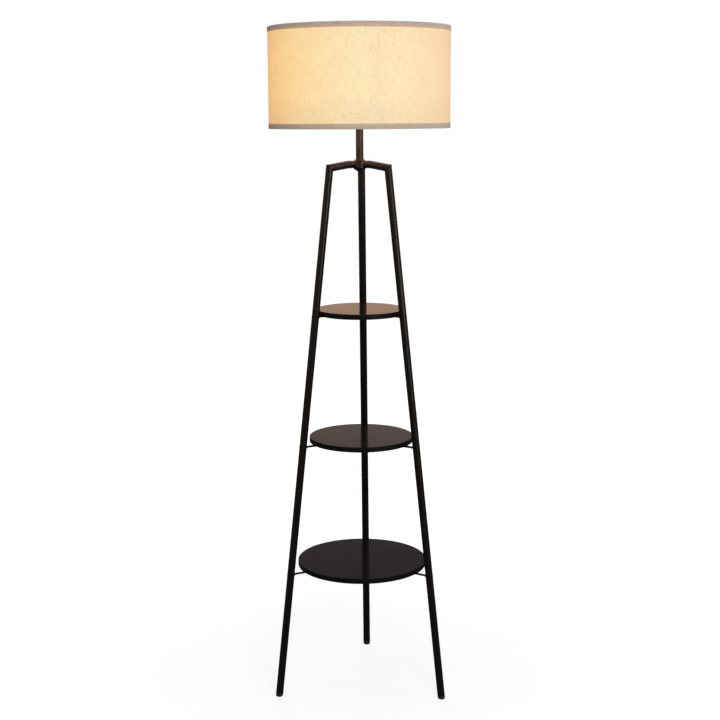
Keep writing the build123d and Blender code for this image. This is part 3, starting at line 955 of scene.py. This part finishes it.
def edge_wire(height):
    """Wire ring that the tape is folded over."""
    rim = SHADE_RADIUS - WIRE_INSET
    section = [(rim + WIRE_RADIUS * math.cos(angle), height + WIRE_RADIUS * math.sin(angle))
               for angle in turn_angles(12)]
    return lathe(section, RIM_SEGMENTS)


def build_shade():
    low, high = SHADE_LOW + LINEN_SETBACK, SHADE_HIGH - LINEN_SETBACK
    radius = LINEN_RADIUS
    linen_wall = band(wall_section(radius - 0.05, radius - 0.45, low, high), LAP_ANGLE, 0.5)
    liner_wall = lathe(wall_section(radius - 0.5, radius - 1.0, low, high), SHADE_SEGMENTS)
    cloth = piece("shade_linen", [linen_wall], "shade_fabric", ["shade_wall"])
    stiff = piece("shade_liner", [liner_wall], "shade_fabric", ["shade_wall"], material="shade_liner")
    for name, edge, inward in (("top_trim", SHADE_HIGH, -1), ("bottom_trim", SHADE_LOW, 1)):
        folded = band(tape_section(edge, inward), LAP_ANGLE / 2, 0.0)
        strip = piece(f"{name}_tape", [folded], "shade_trim", [name])
    piece("top_ring_wire", [edge_wire(SHADE_HIGH - WIRE_DROP)], "shade_wire", ["top_ring"])


def build_lower_frame():
    """Bottom ring, fitter ring and three wire arms with their welds."""
    rim, low, seat = SHADE_RADIUS - WIRE_INSET, SHADE_LOW + WIRE_DROP, FITTER_SEAT
    fitter = lathe(eased((RING_BORE, seat + 0.1), (22, seat + 0.1, 0.6), (22, seat + 1.9, 0.6),
                         (RING_BORE, seat + 1.9)))
    path = eased((20.5, seat + 0.9), (32, seat + 0.2, 12), (rim - 14, low + 3.2, 14), (rim - 0.6, low + 1.4))
    arm = swept(path, [(SHADE_ARM_RADIUS, SHADE_ARM_RADIUS, 2)] * len(path), 24)
    weld = bead(SHADE_ARM_RADIUS + 0.2, SHADE_ARM_RADIUS + 0.2, size=0.7, ripples=7, segments=36)
    shapes = [edge_wire(low), fitter]
    for azimuth in SHADE_ARM_AZIMUTHS:
        shapes.append(moved(arm, turned(azimuth)))
        shapes.append(moved(weld, lying(azimuth, 21.8, seat + 1)))
    piece("shade_lower_frame_wire", shapes, "shade_wire", ["shade_lower_frame"])


def finish_kept_nodes():
    """Materials for the CAD's own solids that no piece replaces."""
    for node, material in (("front_leg_couplers", "plated_steel"), ("rear_leg_couplers", "plated_steel"),
                           ("screw_shell", "contact_brass"), ("centre_contact", "contact_brass")):
        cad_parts[node].material_slots[0].material = MATERIALS[material]


# Studio


def build_camera():
    data = bpy.data.cameras.new("camera")
    data.sensor_width = 36.0
    data.lens = CAMERA_LENS
    data.clip_end = 60
    camera = placed("camera", data)
    heading = Matrix.Rotation(math.radians(CAMERA_HEADING), 4, "Z")
    pitch = Matrix.Rotation(math.radians(90 - CAMERA_DOWNWARD), 4, "X")
    roll = Matrix.Rotation(math.radians(CAMERA_ROLL), 4, "Z")
    camera.matrix_world = Matrix.Translation(Vector(CAMERA_PLACE) + AXIS) @ heading @ pitch @ roll
    bpy.context.scene.camera = camera


def area_light(name, place, target, size, power, colour, mirrored=False):
    """Softbox that lights the surfaces or, where mirrored, that only shows in their gloss."""
    data = bpy.data.lights.new(name, "AREA")
    data.shape = "RECTANGLE"
    data.size, data.size_y = size
    data.energy = power
    data.color = colour
    light = placed(name, data, place)
    light.rotation_euler = (Vector(target) - Vector(place)).to_track_quat("-Z", "Y").to_euler()
    light.visible_glossy = mirrored
    light.visible_diffuse = not mirrored


def lamp_light(name, kind, height, radius, power, colour):
    """Light of the lamp itself, on its axis: the bulb's, or what leaves the shade downwards."""
    data = bpy.data.lights.new(name, kind)
    data.energy = power
    data.color = colour
    if kind == "AREA":
        data.shape = "DISK"
        data.size = 2 * radius * MM
    else:
        data.shadow_soft_size = radius * MM
    light = placed(name, data, Vector((0, 0, height * MM)) + AXIS)
    light.visible_camera = False
    light.visible_glossy = False


def build_floor():
    """Pale floor that meets a white background and keeps the lamp's shadow."""
    size = 14.0
    corners = [(x * size, y * size, 0) for x, y in ((-1, -1), (1, -1), (1, 1), (-1, 1))]
    mesh = bpy.data.meshes.new("floor")
    mesh.from_pydata(corners, [], [(0, 1, 2, 3)])
    s = Shader("floor")
    s.tree.nodes.remove(s.surface)
    ray = s.node("LightPath").outputs
    matt = s.node("BsdfDiffuse", rgb(0.30, 0.30, 0.30))
    reach = s.node("VectorMath", s.place(), operation="LENGTH").outputs["Value"]
    white = s.node("Emission", rgb(1, 1, 1), s.span(reach, 0.4, 1.6, 0.77, 0.95))
    seen = s.node("AddShader", matt.outputs[0], white.outputs[0])
    bounce = s.node("BsdfDiffuse", rgb(0.55, 0.54, 0.52))
    mirrored = s.node("Emission", rgb(0.07, 0.065, 0.06), 1.0)
    other = s.node("MixShader", ray["Is Glossy Ray"], bounce.outputs[0], mirrored.outputs[0])
    surface = s.node("MixShader", ray["Is Camera Ray"], other.outputs[0], seen.outputs[0])
    s.feed(s.tree.nodes["Material Output"].inputs[0], surface.outputs[0])
    mesh.materials.append(s.material)
    placed("floor", mesh)


def build_world():
    """White to the camera, soft grey light on the lamp, and a wall that darkens upwards in reflections."""
    stops = ((0.0, (0.10, 0.09, 0.085)), (0.09, (0.81, 0.52, 0.37)), (0.15, (0.75, 0.485, 0.355)),
             (0.222, (0.248, 0.190, 0.190)), (0.246, (0.276, 0.212, 0.212)), (0.300, (0.116, 0.100, 0.101)),
             (0.334, (0.116, 0.100, 0.101)), (0.5, (0.12, 0.112, 0.11)), (0.8, (0.22, 0.21, 0.205)))
    world = bpy.data.worlds.new("studio")
    world.use_nodes = True
    bpy.context.scene.world = world
    s = Nodes(world.node_tree)
    ray = s.node("LightPath").outputs
    rise = s.node("SeparateXYZ", s.node("TexCoord").outputs["Generated"]).outputs[2]
    wall = s.node("ValToRGB", rise)
    elements = wall.color_ramp.elements
    for element, (position, colour) in zip(elements, (stops[0], stops[-1])):
        element.position, element.color = position, rgb(*colour)
    for position, colour in stops[1:-1]:
        elements.new(position).color = rgb(*colour)
    lit = s.mix(ray["Is Glossy Ray"], rgb(0.32, 0.315, 0.31), wall.outputs[0])
    straight = s.math("MAXIMUM", ray["Is Camera Ray"], ray["Is Transmission Ray"])
    s.feed(s.tree.nodes["Background"].inputs[0], s.mix(straight, lit, rgb(1, 1, 1)))


def build_studio():
    build_camera()
    build_world()
    build_floor()
    area_light("key_light", place=(0.8, -3.5, 2.0), target=(0, 0, 1.1), size=(1.6, 2.4),
               power=88, colour=(1.0, 0.99, 0.97))
    area_light("fill_light", place=(2.9, -0.6, 1.7), target=(0, 0, 1.0), size=(1.2, 2.2),
               power=12, colour=(1.0, 0.96, 0.94))
    area_light("back_light", place=(-0.8, 3.4, 2.0), target=(0, 0, 1.0), size=(2.0, 2.0),
               power=40, colour=(1.0, 0.98, 0.96))
    area_light("strip_light", place=(1.75, -1.95, 1.2), target=(0, 0, 1.2), size=(0.25, 0.8),
               power=7.5, colour=(1.0, 0.97, 0.96), mirrored=True)
    lamp_light("bulb_light", "POINT", height=BULB_SEAT + 78, radius=BULB_RADIUS,
               power=1.6, colour=(1.0, 0.70, 0.44))
    lamp_light("down_light", "AREA", height=SHADE_LOW - 1, radius=95,
               power=3.8, colour=(1.0, 0.52, 0.38))
    bpy.context.scene.view_settings.view_transform = "Standard"


build_straight_legs()
build_upper_legs()
build_foot_caps()
build_grommet()
build_shelves()
build_brackets()
build_hub()
build_post()
build_lampholder()
build_switch()
build_bulb()
build_shade()
build_lower_frame()
finish_kept_nodes()
build_studio()
